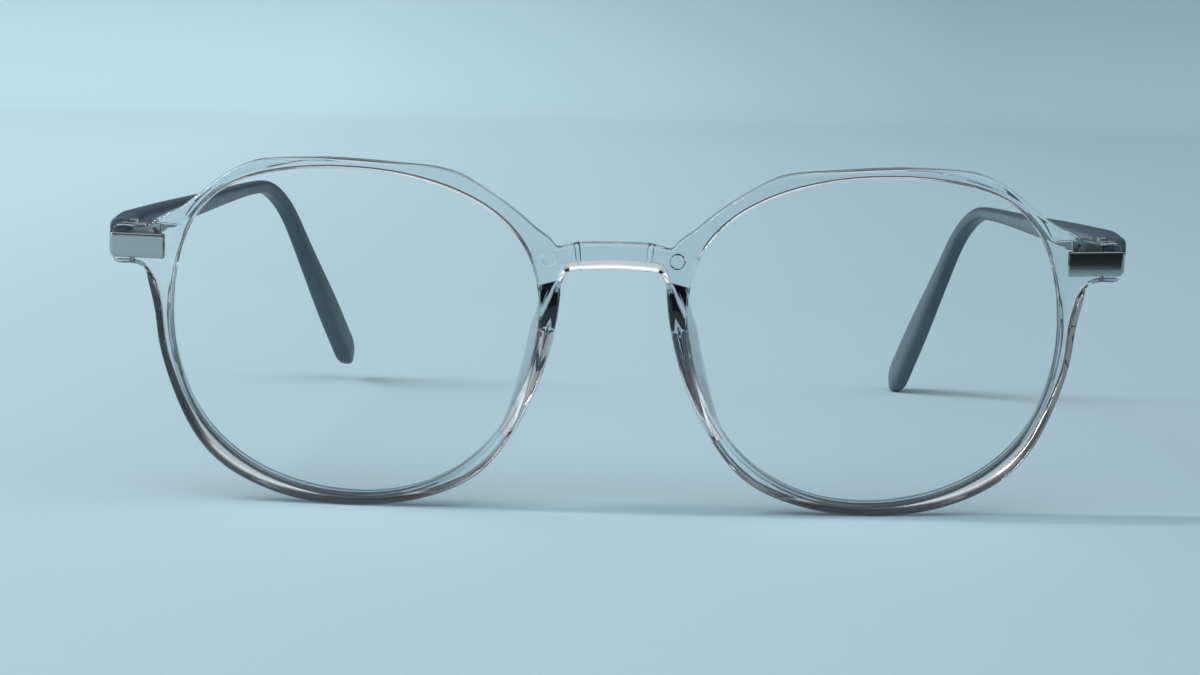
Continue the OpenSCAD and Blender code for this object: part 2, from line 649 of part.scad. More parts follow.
module hinge_screw(side) {
  shaft_low = -stack_top + 0.1;
  color(steel) at_hinge(side) difference() {
    union() {
      translate([0, 0, shaft_low]) cylinder(r = pin_radius, h = stack_top - shaft_low - 0.1, $fn = 64);
      translate([0, 0, stack_top - head_depth + 0.04]) cylinder(r = head_radius, h = 0.5, $fn = 64);
    }
    translate([-1.2, -0.12, stack_top - 0.32]) cube([2.4, 0.24, 1]);
  }
}

// Temple leaf: a knuckle, its web and a plate let into the arm's inner face
leaf_start = 1.7;
leaf_length = 8;
leaf_height = 2.6;
leaf_face = arm_inner - hinge_x + leaf_seat - 0.1;
temple_screw_at = [3.9, 7.3];
temple_screw_length = 2;

module on_arm(side) {
  at_hinge(side) rotate([0, 0, atan(toe_in(side))]) children();
}

module leaf_plate(g) {
  translate([leaf_face - leaf_thickness - g, leaf_start - g, -leaf_height / 2 - g])
    cube([leaf_thickness + 2 * g, leaf_length + 2 * g, leaf_height + 2 * g]);
}

module at_temple_screw(side, k) {
  on_arm(side) translate([leaf_face - leaf_thickness, temple_screw_at[k], 0])
    rotate([0, -90, 0]) children();
}

module temple_leaf(side) {
  color(steel) difference() {
    on_arm(side) union() {
      knuckle(0);
      translate([0.35, 0, -knuckle_height / 2])
        cube([leaf_face - 0.35, leaf_start + 0.7, knuckle_height]);
      leaf_plate(0);
    }
    at_hinge(side) pin_bores(pin_play);
    for (k = [0, 1]) at_temple_screw(side, k) leaf_screw_bore(leaf_thickness);
  }
}

module temple_leaf_screw(side, k) {
  color(steel) at_temple_screw(side, k) leaf_screw(leaf_thickness + temple_screw_length);
}

module arm_solid(side) {
  polyhedron(points = arm_points(side), faces = tube(arm_ring_count, section_count, true),
    convexity = 6);
}

module lifted(side) {
  if (side == left) translate([0, joint_y, arm_z]) rotate([left_lift, 0, 0])
    translate([0, -joint_y, -arm_z]) children();
  else children();
}

module temple_arm(side) {
  color(slate) difference() {
    placed() lifted(side) arm_solid(side);
    on_arm(side) {
      leaf_plate(seat_gap);
      translate([0.35 - seat_gap, -1, -knuckle_height / 2 - seat_gap])
        cube([leaf_face - 0.35 + 2 * seat_gap, leaf_start + 1.7 + seat_gap,
          knuckle_height + 2 * seat_gap]);
    }
    for (k = [0, 1]) at_temple_screw(side, k)
      leaf_screw_bore(leaf_thickness + temple_screw_length);
  }
}

front_frame();
lens(left);  // lens_left
lens(right);  // lens_right
corner_plate(left);  // corner_plate_left
corner_plate(right);  // corner_plate_right
front_leaf(left);  // front_leaf_left
front_leaf(right);  // front_leaf_right
front_leaf_screw(left, 0);  // front_leaf_screw_left_lower
front_leaf_screw(left, 1);  // front_leaf_screw_left_upper
front_leaf_screw(right, 0);  // front_leaf_screw_right_lower
front_leaf_screw(right, 1);  // front_leaf_screw_right_upper
hinge_screw(left);  // hinge_screw_left
hinge_screw(right);  // hinge_screw_right
temple_arm(left);  // temple_arm_left
temple_arm(right);  // temple_arm_right
temple_leaf(left);  // temple_leaf_left
temple_leaf(right);  // temple_leaf_right
temple_leaf_screw(left, 0);  // temple_leaf_screw_left_front
temple_leaf_screw(left, 1);  // temple_leaf_screw_left_rear
temple_leaf_screw(right, 0);  // temple_leaf_screw_right_front
temple_leaf_screw(right, 1);  // temple_leaf_screw_right_rear
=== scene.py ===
"""Looks for the octagonal eyeglasses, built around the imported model. Sizes are in millimetres."""

import math

import bmesh
import bpy
import numpy as np
from mathutils import Matrix, Vector


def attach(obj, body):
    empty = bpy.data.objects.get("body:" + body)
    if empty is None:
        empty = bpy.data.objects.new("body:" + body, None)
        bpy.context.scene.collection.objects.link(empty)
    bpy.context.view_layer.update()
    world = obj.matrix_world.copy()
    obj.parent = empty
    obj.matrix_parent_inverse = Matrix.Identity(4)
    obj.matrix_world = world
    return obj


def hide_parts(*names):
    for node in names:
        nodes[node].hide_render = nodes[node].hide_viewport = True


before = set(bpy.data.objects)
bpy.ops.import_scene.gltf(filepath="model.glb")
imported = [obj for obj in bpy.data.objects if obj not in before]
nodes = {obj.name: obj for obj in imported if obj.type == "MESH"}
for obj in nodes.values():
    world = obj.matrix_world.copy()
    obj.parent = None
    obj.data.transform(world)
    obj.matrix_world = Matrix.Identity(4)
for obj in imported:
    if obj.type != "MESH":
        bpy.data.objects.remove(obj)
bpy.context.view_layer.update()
MM = 0.001
scene = bpy.context.scene

# Sizes, as in the part's source
LENS_X = 35.5
SHIFT_Y = -68.4641
LENS_Z = 24.132
LEAN = math.radians(3)
BASE_R = 132.0
SPHERE_X = LENS_X - BASE_R * math.tan(math.radians(5))
SPHERE_Y = math.sqrt(BASE_R**2 - (LENS_X - SPHERE_X) ** 2)
END_X = 69.6
END_A = END_X - LENS_X
END_TOP, END_BOTTOM = 13.75, 8.4
END_SLOPE = 0.2
SIDE_WALL = 2.2
PLATE_BOTTOM, PLATE_H, PLATE_T = 9.3, 3.3, 1.2
PLATE_PROUD, PLATE_SIDE = 0.1, 0.5
PLATE_X = END_X + PLATE_SIDE
END_FLAT = END_X - 7.8 + PLATE_SIDE
END_START = LENS_X + 23.5
BRIDGE_HALF = 12.0
BRIDGE_TOP, BRIDGE_BOTTOM = 13.1, 9.5
THICK = 3.2
EDGE, BRIDGE_EDGE = 0.45, 0.95
JOINT_Y = 12.95
HINGE_X = END_X - 3.9
HINGE_Z = 36.3
TOE = 0.06

# The opening's eight sides: distance from the lens centre, direction, and sharpness of the corners
SIDE_D = [26.4, 28.0, 23.2, 25.7, 26.1, 25.6, 24.2, 24.7]
SIDE_T = [-18, 24, 85, 123, 183, 220, 260, 295]
SHARP = 5.6

# The rims' section: rounded corners at the opening, and the groove's front and back
CORNER = 0.2
GROOVE_FRONT, GROOVE_BACK = 1.0, 2.32
BEVEL_EASE = 0.25


def leaned(p):
    """Front coordinates (x, depth, up from the lens centres) to metres in the row frame."""
    x, y, v = p
    c, s = math.cos(LEAN), math.sin(LEAN)
    return Vector((x, y * c - v * s + SHIFT_Y, LENS_Z + v * c + y * s)) * MM


# Opening, rim and surface
def open_r(t):
    """Radius of the opening at an angle round the lens centre."""
    total = 0.0
    for d, a in zip(SIDE_D, SIDE_T):
        total += (max(0.0, math.cos(math.radians(t - a))) / d) ** SHARP
    return total ** (-1 / SHARP)


# Width of the rim by angle round the opening: (angle, width)
RIM = [(-200, 3.8), (-193, 3.1), (-180, 2.4), (-155, 1.92), (-131, 2.4), (-112, 1.89),
       (-92, 1.75), (-60, 2.42), (-42, 2.75), (-21, 2.0), (-5, 2.25), (5, 2.6), (14, 4),
       (26, 4.95), (34, 2.4), (42, 1.6), (57, 2.1), (73, 1.55), (90, 1.25), (105, 1.45),
       (121, 2.35), (136, 2.05), (148, 2.55), (156, 4.05)]

# Bevel of the outer rear edge by angle round the opening: (angle, width, depth)
REAR_EDGE = [(-203, 0.9, 1.2), (-199, 0.9, 1.2), (-194, 0.6, 1.6), (-165, 0.8, 2.4), (-140, 0.9, 2.4),
             (-115, 1.0, 2.5), (-95, 1.15, 2.7), (-60, 1.6, 2.7), (-40, 1.5, 2.7),
             (-10, 1.0, 2.7), (8, 1.05, 2.7), (15, 0.9, 2.7), (20, 0.4, 0.6), (23, 0.2, 0.2),
             (27, 2.6, 1.1), (45, 1.3, 0.7), (60, 1.4, 0.8), (76, 0.5, 0.4), (90, 0.2, 0.2),
             (156, 0.2, 0.2)]


def groove(t):
    """Depth of the lens's groove: shallow in the upper half of the rim, deeper in the lower."""
    return 0.45 - 0.25 * math.tanh(2.5 * math.sin(math.radians(t)))


def rim_slope(k):
    """Change of the rim's width per degree at one of its listed angles."""
    if k in (0, len(RIM) - 1):
        return 0.1
    return (RIM[k + 1][1] - RIM[k - 1][1]) / (RIM[k + 1][0] - RIM[k - 1][0])


def rim_width(t):
    """Width of the rim at an angle, smooth through the listed widths."""
    k = 0
    while k + 2 < len(RIM) and t > RIM[k + 1][0]:
        k += 1
    w = RIM[k + 1][0] - RIM[k][0]
    q = (t - RIM[k][0]) / w
    return (RIM[k][1] * (1 + 2 * q) * (1 - q) ** 2 + RIM[k + 1][1] * q * q * (3 - 2 * q)
            + w * q * (1 - q) * (rim_slope(k) * (1 - q) - rim_slope(k + 1) * q))


def rim_point(t, m):
    """A point on the rim's outline, with the angle that it belongs to on the opening."""
    r = open_r(t) + rim_width(t)
    return (r * math.cos(math.radians(t)), r * math.sin(math.radians(t)), m)


def on_sphere(x, v):
    """Depth of the lenses' ball surface."""
    return SPHERE_Y - math.sqrt(BASE_R**2 - (x - SPHERE_X) ** 2 - v * v)


def sphere_slope(x, v):
    return (x - SPHERE_X) / math.sqrt(BASE_R**2 - (x - SPHERE_X) ** 2 - v * v)


END_LEVEL = PLATE_BOTTOM + PLATE_H / 2
START_SLOPE = sphere_slope(END_START, END_LEVEL)
START_DEPTH = on_sphere(END_START, END_LEVEL)
EASE = END_FLAT - END_START
FLAT_DEPTH = START_DEPTH + (START_SLOPE + END_SLOPE) * EASE / 2


def front_depth(x, v):
    """Depth of the front's face: over the bridge, the rims and the end pieces."""
    x = abs(x)
    if x < BRIDGE_HALF:
        return (on_sphere(BRIDGE_HALF, v) + sphere_slope(BRIDGE_HALF, v)
                * (x * x - BRIDGE_HALF**2) / (2 * BRIDGE_HALF))
    if x <= END_START:
        return on_sphere(x, v)
    if x >= END_FLAT:
        return FLAT_DEPTH + END_SLOPE * (x - END_FLAT)
    share = (x - END_START) / EASE
    ease = (START_DEPTH + START_SLOPE * (x - END_START)
            - (START_SLOPE - END_SLOPE) * (x - END_START) ** 2 / (2 * EASE))
    return ease + (on_sphere(END_START, v) - START_DEPTH) * (1 - share)


def span(a, b, step):
    """Numbers from a to b by a step of either sign."""
    out = []
    while (a >= b - 1e-9) if step < 0 else (a <= b + 1e-9):
        out.append(a)
        a += step
    return out


# Outline of the right half from the bridge's top over the rim to the bridge's underside: (x, up, angle)
OUTLINE = ([
    (-LENS_X, BRIDGE_TOP, 157.8), (1.6 - LENS_X, BRIDGE_TOP, 157.4),
    (3.2 - LENS_X, BRIDGE_TOP - 0.01, 156.9), (4.6 - LENS_X, BRIDGE_TOP - 0.08, 156.1),
    (5.6 - LENS_X, BRIDGE_TOP - 0.23, 155.5), (6.5 - LENS_X, BRIDGE_TOP - 0.47, 154.8)]
    + [rim_point(t, t - 0.9) for t in (155.8, 153.6, 151.2, 148.7)]
    + [rim_point(t, t) for t in span(145.5, 33, -4)]
    + [rim_point(30.6, 30.6), rim_point(28.2, 28.4),
       (END_A - 5.1, END_TOP + 0.2, 26.4), (END_A - 4.2, END_TOP + 0.05, 25.6),
       (END_A - 3, END_TOP, 24.9), (END_A - 0.8, END_TOP, 24.3),
       (END_A - 0.22, END_TOP - 0.24, 23.9), (END_A, END_TOP - 0.8, 23.3),
       (END_A, (END_TOP + END_BOTTOM) / 2, 21.8), (END_A, END_BOTTOM + 0.8, 20.4),
       (END_A - 0.22, END_BOTTOM + 0.24, 19.9), (END_A - 0.8, END_BOTTOM, 19.3),
       (END_A - 2.7, END_BOTTOM, 17.9), (END_A - 3.6, END_BOTTOM - 0.15, 16.9),
       (END_A - 4.3, END_BOTTOM - 0.5, 15.9), (END_A - 4.75, END_BOTTOM - 1.05, 14.8)]
    + [rim_point(t, t) for t in span(11.8, -189, -4)]
    + [rim_point(-191.8, -192.6), rim_point(-194.2, -195),
       (6.5 - LENS_X, BRIDGE_BOTTOM - 0.9, -198), (6.2 - LENS_X, BRIDGE_BOTTOM - 0.5, -199),
       (5.6 - LENS_X, BRIDGE_BOTTOM - 0.28, -199.9), (4.4 - LENS_X, BRIDGE_BOTTOM - 0.16, -200.7),
       (2.6 - LENS_X, BRIDGE_BOTTOM - 0.07, -201.4), (1.2 - LENS_X, BRIDGE_BOTTOM - 0.02, -201.9),
       (-LENS_X, BRIDGE_BOTTOM, -202.2)])


def refine(points, per):
    """A smooth run through the points, with shorter steps where they lie close together."""
    pts = np.array(points, float)
    n = len(pts)
    out = []
    first = pts[1].copy()
    first[0] = 2 * pts[0][0] - pts[1][0]
    last = pts[-2].copy()
    last[0] = 2 * pts[-1][0] - pts[-2][0]
    ext = np.vstack([first, pts, last])
    for i in range(n - 1):
        a, b, c, d = ext[i : i + 4]
        ab, bc, cd = (max(1e-6, np.linalg.norm((q - p)[:2]) ** 0.5) for p, q in ((a, b), (b, c), (c, d)))
        m1 = (c - b) + bc * ((b - a) / ab - (c - a) / (ab + bc))
        m2 = (c - b) + bc * ((d - c) / cd - (d - b) / (bc + cd))
        steps = max(2, min(per, int(round(np.linalg.norm((c - b)[:2]) / 0.3))))
        for k in range(steps):
            q = k / steps
            out.append((2 * q**3 - 3 * q**2 + 1) * b + (q**3 - 2 * q**2 + q) * m1
                       + (-2 * q**3 + 3 * q**2) * c + (q**3 - q**2) * m2)
    out.append(pts[-1])
    return np.array(out)


def section_rows(r, rear, deep, gd):
    """Rows round a rim's section: (share from the opening, inset, depth)."""
    turn = (0, 0.52, 1.05, 1.5708)
    rows = [(0, CORNER * (1 - math.sin(a)), CORNER * (1 - math.cos(a))) for a in turn]
    rows += [(0, 0, GROOVE_FRONT), (0, gd, GROOVE_FRONT), (0, gd, GROOVE_BACK), (0, 0, GROOVE_BACK)]
    rows += [(0, CORNER * (1 - math.cos(a)), THICK - CORNER * (1 - math.sin(a))) for a in turn]
    rows += [(q, 0, THICK) for q in (0.1, 0.25, 0.5, 0.75, 0.9)]
    rows += [(1, rear + BEVEL_EASE, THICK), (1, rear + 0.1, THICK - 0.03), (1, rear, THICK - 0.12)]
    # The bevel swells outward a little, less where it is deep
    swell = rear * (0.3 - 0.08 * deep)
    rows += [(1, rear * (1 - s) - 4 * s * (1 - s) * swell, THICK - 0.12 - (deep - 0.12) * s)
             for s in (0.25, 0.5, 0.75, 1)]
    rows += [(1, 0, (r + THICK - deep) / 2)]
    rows += [(1, r * (1 - math.cos(a)), r * (1 - math.sin(a)))
             for a in (0, 0.26, 0.52, 0.79, 1.05, 1.31, 1.5708)]
    rows += [(q, 0, 0) for q in (0.9, 0.75, 0.5, 0.25, 0.1)]
    return rows


# Rows of a section: all, the last at the opening, and the first and last at the outer edge
ROWS = len(section_rows(EDGE, EDGE, EDGE, EDGE))
INNER_LAST = 11
OUTER_FIRST, OUTER_LAST = 17, 31


def front_mesh():
    """Points and faces of both halves: a section at each step along the outline."""
    run = refine(OUTLINE, 5)
    n = len(run)
    verts = []
    for i in range(n):
        if i in (0, n - 1):
            tan = np.array([1.0 if i == 0 else -1.0, 0.0])
        else:
            tan = run[i + 1][:2] - run[i - 1][:2]
            tan = tan / np.linalg.norm(tan)
        inward = np.array([tan[1], -tan[0]])
        # The front edge is rounder along the bridge's underside, below -195.5 degrees
        q = max(0.0, min(1.0, (run[i][2] + 195.5) / -4.0))
        r_front = EDGE + (BRIDGE_EDGE - EDGE) * q * q * (3 - 2 * q)
        a = math.radians(run[i][2])
        ro = open_r(run[i][2])
        ax = np.array([math.cos(a), math.sin(a)])
        # The end pieces keep a nearly square rear edge
        end_share = max(0.0, min(1.0, (LENS_X + run[i][0] - 61) / 3))
        end_share *= float(np.interp(run[i][2], (11, 17), (0, 1)))
        wide = np.linalg.norm(run[i][:2] - (ro + CORNER) * ax)
        angles, widths, depths = zip(*REAR_EDGE)
        rear, deep = (float(np.interp(run[i][2], angles, values)) for values in (widths, depths))
        rear = min(rear + (0.2 - rear) * end_share, 0.85 * wide - BEVEL_EASE)
        deep = min(deep + (0.2 - deep) * end_share, THICK - r_front - 0.05)
        pi, po = (ro + CORNER) * ax, run[i][:2] + (rear + BEVEL_EASE) * inward
        pf = run[i][:2] + r_front * inward
        for k, (share, inset, depth) in enumerate(section_rows(r_front, rear, deep, groove(run[i][2]))):
            if share == 0:
                p = (ro + inset) * ax
                y = on_sphere(LENS_X + p[0], p[1])
            elif share == 1:
                p = run[i][:2] + inset * inward
                y = front_depth(LENS_X + p[0], p[1])
            else:
                end = pf if k > OUTER_LAST else po
                p = pi + (end - pi) * share
                x = LENS_X + p[0]
                blend = max(0.0, 1 - share * 4)
                y = front_depth(x, p[1]) * (1 - blend) + on_sphere(x, p[1]) * blend
            verts.append((LENS_X + p[0], y + depth, p[1]))
    faces = []

    def at(i, k):
        return (0 if i == n - 1 and k <= INNER_LAST else i * ROWS) + k

    for i in range(n - 1):
        for k in range(ROWS):
            m = (k + 1) % ROWS
            faces.append((at(i, k), at(i, m), at(i + 1, m), at(i + 1, k)))
    for k in list(range(INNER_LAST, OUTER_FIRST)) + list(range(OUTER_LAST, ROWS)):
        m = (k + 1) % ROWS
        quad = [at(n - 1, k), at(n - 1, m), at(0, m), at(0, k)]
        slim = [v for j, v in enumerate(quad) if v != quad[j - 1]]
        faces.append(tuple(slim))
    count = len(verts)
    both = verts + [(-x, y, v) for x, y, v in verts]
    faces += [tuple(v + count for v in reversed(f)) for f in faces]
    return both, faces


# Mesh helpers
def new_object(name, verts, faces, weld=1e-5, move=None):
    mesh = bpy.data.meshes.new(name)
    mesh.from_pydata([Vector(v) * MM if move is None else move(v) for v in verts], [], faces)
    bm = bmesh.new()
    bm.from_mesh(mesh)
    if weld:
        bmesh.ops.remove_doubles(bm, verts=bm.verts, dist=weld * MM)
    bmesh.ops.recalc_face_normals(bm, faces=bm.faces)
    bm.to_mesh(mesh)
    bm.free()
    obj = bpy.data.objects.new(name, mesh)
    scene.collection.objects.link(obj)
    return obj


def tube_faces(n, per):
    """Faces of a closed tube of n sections with per points each."""
    faces = [(i * per + k, i * per + (k + 1) % per, (i + 1) * per + (k + 1) % per, (i + 1) * per + k)
             for i in range(n - 1) for k in range(per)]
    return faces + [tuple(range(per - 1, -1, -1)), tuple(range((n - 1) * per, n * per))]


def quarter(n):
    """Angles over a quarter turn."""
    return np.linspace(0, math.pi / 2, n)


def combine(target, other, operation):
    """Joins or cuts the target with another closed mesh, which is then removed."""
    mod = target.modifiers.new("combine", "BOOLEAN")
    mod.operation, mod.solver, mod.object = operation, "MANIFOLD", other
    graph = bpy.context.evaluated_depsgraph_get()
    mesh = bpy.data.meshes.new_from_object(target.evaluated_get(graph))
    target.modifiers.clear()
    old = target.data
    target.data = mesh
    bpy.data.meshes.remove(old)
    data = other.data
    bpy.data.objects.remove(other)
    bpy.data.meshes.remove(data)


def smooth(obj, angle=35):
    obj.data.shade_smooth()
    obj.data.set_sharp_from_angle(angle=math.radians(angle))


def prism(name, outline, low, high, move):
    """A vertical prism over a plan outline."""
    n = len(outline)
    verts = [(x, y, low) for x, y in outline] + [(x, y, high) for x, y in outline]
    faces = [tuple(range(n)), tuple(range(2 * n - 1, n - 1, -1))]
    faces += [(k, n + k, n + (k + 1) % n, (k + 1) % n) for k in range(n)]
    return new_object(name, verts, faces, move=move)


# Materials
def material(name):
    mat = bpy.data.materials.new(name)
    mat.use_nodes = True
    tree = mat.node_tree
    return mat, tree, tree.nodes["Principled BSDF"]


def noise(tree, scale, detail=3, rough=0.55, stretch=(1, 1, 1)):
    pos = tree.nodes.new("ShaderNodeTexCoord")
    mapping = tree.nodes.new("ShaderNodeMapping")
    mapping.inputs["Scale"].default_value = stretch
    tex = tree.nodes.new("ShaderNodeTexNoise")
    tex.inputs["Scale"].default_value = scale
    tex.inputs["Detail"].default_value = detail
    tex.inputs["Roughness"].default_value = rough
    tree.links.new(pos.outputs["Object"], mapping.inputs["Vector"])
    tree.links.new(mapping.outputs["Vector"], tex.inputs["Vector"])
    return tex.outputs["Fac"]


def ramp(tree, fac, low, high, start=0.0, end=1.0):
    node = tree.nodes.new("ShaderNodeMapRange")
    node.inputs["From Min"].default_value = start
    node.inputs["From Max"].default_value = end
    node.inputs["To Min"].default_value = low
    node.inputs["To Max"].default_value = high
    tree.links.new(fac, node.inputs["Value"])
    return node.outputs["Result"]


def calculate(tree, operation, a, b):
    node = tree.nodes.new("ShaderNodeMath")
    node.operation = operation
    for k, value in enumerate((a, b)):
        if isinstance(value, (int, float)):
            node.inputs[k].default_value = value
        else:
            tree.links.new(value, node.inputs[k])
    return node.outputs["Value"]


def bump(tree, bsdf, height, strength, distance):
    node = tree.nodes.new("ShaderNodeBump")
    node.inputs["Strength"].default_value = strength
    node.inputs["Distance"].default_value = distance
    tree.links.new(height, node.inputs["Height"])
    tree.links.new(node.outputs["Normal"], bsdf.inputs["Normal"])


def blend(tree, fac, low, high):
    """A mix of two colours, each given as numbers or as another node's output."""
    node = tree.nodes.new("ShaderNodeMix")
    node.data_type = "RGBA"
    a, b = [socket for socket in node.inputs if socket.type == "RGBA"]
    for socket, value in ((a, low), (b, high)):
        if isinstance(value, tuple):
            socket.default_value = (*value, 1)
        else:
            tree.links.new(value, socket)
    tree.links.new(fac, node.inputs["Factor"])
    return next(socket for socket in node.outputs if socket.type == "RGBA")


def colours(tree, bsdf, fac, low, high):
    tree.links.new(blend(tree, fac, low, high), bsdf.inputs["Base Color"])


def let_light_through(tree, shader, tint):
    """Light from the lamps passes the clear piece with a tint, as it does through clear plastic."""
    path = tree.nodes.new("ShaderNodeLightPath")
    clear = tree.nodes.new("ShaderNodeBsdfTransparent")
    clear.inputs["Color"].default_value = (*tint, 1)
    mix = tree.nodes.new("ShaderNodeMixShader")
    out = tree.nodes["Material Output"]
    tree.links.new(path.outputs["Is Shadow Ray"], mix.inputs["Fac"])
    tree.links.new(shader, mix.inputs[1])
    tree.links.new(clear.outputs["BSDF"], mix.inputs[2])
    tree.links.new(mix.outputs["Shader"], out.inputs["Surface"])


def clear_plastic():
    mat, tree, bsdf = material("crystal_plastic")
    bsdf.inputs["Transmission Weight"].default_value = 1
    bsdf.inputs["IOR"].default_value = 1.49
    clear = blend(tree, noise(tree, 60, 2), (0.885, 0.925, 0.945), (0.915, 0.945, 0.96))
    pos = tree.nodes.new("ShaderNodeTexCoord")
    split = tree.nodes.new("ShaderNodeSeparateXYZ")
    tree.links.new(pos.outputs["Object"], split.inputs["Vector"])
    # Painted shade: the lower rims, away from the nose, are tinted grey for the darker look the clear
    # plastic shows there
    low = ramp(tree, split.outputs["Z"], 1, 0, 0.014, 0.03)
    across = calculate(tree, "ABSOLUTE", split.outputs["X"], 0)
    outer = ramp(tree, across, 0, 1, 0.016, 0.024)
    painted_lower_shade = blend(tree, calculate(tree, "MULTIPLY", low, outer), clear, (0.74, 0.76, 0.765))
    tree.links.new(painted_lower_shade, bsdf.inputs["Base Color"])
    tree.links.new(ramp(tree, noise(tree, 900, 4), 0.0, 0.05, 0.35, 0.75), bsdf.inputs["Roughness"])
    bump(tree, bsdf, noise(tree, 180, 2), 0.12, 0.0004)
    # Painted shade: what tilts forward or back below the end pieces is mixed with a dark grey, standing
    # in
    # for the dark that total reflection shows: above all the rear bevels, with them the rounded edges
    # and, fainter, the nose pads
    facing = tree.nodes.new("ShaderNodeSeparateXYZ")
    tree.links.new(pos.outputs["Normal"], facing.inputs["Vector"])
    lengthways = calculate(tree, "ABSOLUTE", facing.outputs["Y"], 0)
    tilt = calculate(tree, "MULTIPLY", ramp(tree, lengthways, 0, 1, 0.12, 0.25),
                     ramp(tree, lengthways, 1, 0, 0.55, 0.7))
    below = calculate(tree, "MULTIPLY", ramp(tree, split.outputs["Z"], 0.65, 0, 0.031, 0.036),
                      ramp(tree, across, 0.25, 1, 0.016, 0.024))
    painted_shade = tree.nodes.new("ShaderNodeBsdfDiffuse")
    painted_shade.inputs["Color"].default_value = (0.035, 0.042, 0.05, 1)
    mix = tree.nodes.new("ShaderNodeMixShader")
    tree.links.new(calculate(tree, "MULTIPLY", tilt, below), mix.inputs["Fac"])
    tree.links.new(bsdf.outputs["BSDF"], mix.inputs[1])
    tree.links.new(painted_shade.outputs["BSDF"], mix.inputs[2])
    let_light_through(tree, mix.outputs["Shader"], (0.5, 0.56, 0.6))
    return mat


def clear_lens():
    mat, tree, bsdf = material("clear_lens")
    bsdf.inputs["Transmission Weight"].default_value = 1
    bsdf.inputs["IOR"].default_value = 1.16
    colours(tree, bsdf, noise(tree, 40, 2), (0.975, 0.985, 0.985), (0.985, 0.99, 0.99))
    tree.links.new(ramp(tree, noise(tree, 1400, 5), 0.0, 0.012, 0.5, 0.8), bsdf.inputs["Roughness"])
    let_light_through(tree, bsdf.outputs["BSDF"], (0.9, 0.93, 0.94))
    return mat


def brushed(name, low, high, rough, scale=500, stretch=(0.04, 0.3, 1), depth=0.06):
    mat, tree, bsdf = material(name)
    bsdf.inputs["Metallic"].default_value = 1
    fine = noise(tree, scale, 5, 0.7, stretch)
    colours(tree, bsdf, fine, low, high)
    tree.links.new(ramp(tree, fine, rough * 0.7, rough * 1.4, 0.3, 0.7), bsdf.inputs["Roughness"])
    bump(tree, bsdf, fine, depth, 0.0001)
    return mat


def slate_plastic():
    mat, tree, bsdf = material("slate_plastic")
    colours(tree, bsdf, noise(tree, 90, 5, 0.6), (0.05, 0.082, 0.112), (0.072, 0.112, 0.148))
    tree.links.new(ramp(tree, noise(tree, 700, 4), 0.28, 0.42, 0.3, 0.7), bsdf.inputs["Roughness"])
    bump(tree, bsdf, noise(tree, 2600, 2), 0.08, 0.00005)
    return mat


PLASTIC, LENS, SLATE = clear_plastic(), clear_lens(), slate_plastic()
CHROME = brushed("chrome_plate", (0.36, 0.39, 0.38), (0.5, 0.53, 0.52), 0.09)
STEEL = brushed("hinge_steel", (0.42, 0.43, 0.44), (0.6, 0.61, 0.62), 0.3, 900, (1, 0.2, 0.2))
SCREW = brushed("screw_steel", (0.36, 0.37, 0.38), (0.55, 0.56, 0.57), 0.26, 700, (1, 1, 1))


def dress(obj, mat, body, slot, *replaced):
    obj.data.materials.clear()
    obj.data.materials.append(mat)
    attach(obj, body)
    if replaced:
        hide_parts(*replaced)


# Moulded front
def face_y(x, d):
    return FLAT_DEPTH + END_SLOPE * (x - END_FLAT) + d


def side_x(y, d):
    return END_X - 0.04 - TOE * max(0, y - face_y(END_X, THICK)) - d


PLATE_BACK = (JOINT_Y + PLATE_BOTTOM * math.sin(LEAN)) / math.cos(LEAN) - 0.4


def mirrored(move, side):
    return lambda p: move((p[0] * side, p[1], p[2]))


def end_block(side):
    rear = JOINT_Y + 3
    plan = [(END_X - 6, face_y(END_X - 6, 1)), (side_x(0, 1), face_y(END_X, 1)),
            (side_x(0, 0), face_y(END_X, 2)), (side_x(0, 0), face_y(END_X, THICK)),
            (side_x(rear, 0), rear), (side_x(rear, SIDE_WALL), rear),
            (side_x(face_y(END_X, 4), SIDE_WALL), face_y(END_X, 4)),
            (END_X - SIDE_WALL - 0.5, face_y(END_X - SIDE_WALL - 0.5, THICK - 0.4)),
            (END_X - 6, face_y(END_X - 6, THICK - 0.4))]
    return prism("block", plan, END_BOTTOM + 0.06, END_TOP - 0.06, mirrored(leaned, side))


def plate_slot(side):
    t, g = PLATE_T + 0.04, 0.04
    plan = [(END_FLAT - g, -20), (PLATE_X + 10, -20), (PLATE_X + 10, 40),
            (PLATE_X - TOE * 30 - t, 30),
            (PLATE_X - TOE * (PLATE_BACK - face_y(PLATE_X, 0)) - t, PLATE_BACK),
            (PLATE_X - t, face_y(PLATE_X, t - PLATE_PROUD)),
            (END_FLAT - g, face_y(END_FLAT, t - PLATE_PROUD))]
    return prism("slot", plan, PLATE_BOTTOM - g, PLATE_BOTTOM + PLATE_H + g, mirrored(leaned, side))


def leaf_pocket(side):
    near, far, deep, half = 1.06, 5.04, 2.66, 2.14
    yaw = math.atan(END_SLOPE)
    v0 = (HINGE_Z - LENS_Z) / math.cos(LEAN) - 0.5

    def move(p):
        x, y = p[0] * math.cos(yaw) - p[1] * math.sin(yaw), p[0] * math.sin(yaw) + p[1] * math.cos(yaw)
        return leaned(((END_FLAT + x) * side, FLAT_DEPTH + y, v0 + p[2]))

    plan = [(near, deep), (far, deep), (far, 11), (near, 11)]
    return prism("pocket", plan, -half, half, move)


def joint_cut():
    plan = [(-100, JOINT_Y), (100, JOINT_Y), (100, 50), (-100, 50)]
    return prism("joint", plan, 0, 80, lambda p: Vector((p[0], p[1] + SHIFT_Y, p[2])) * MM)


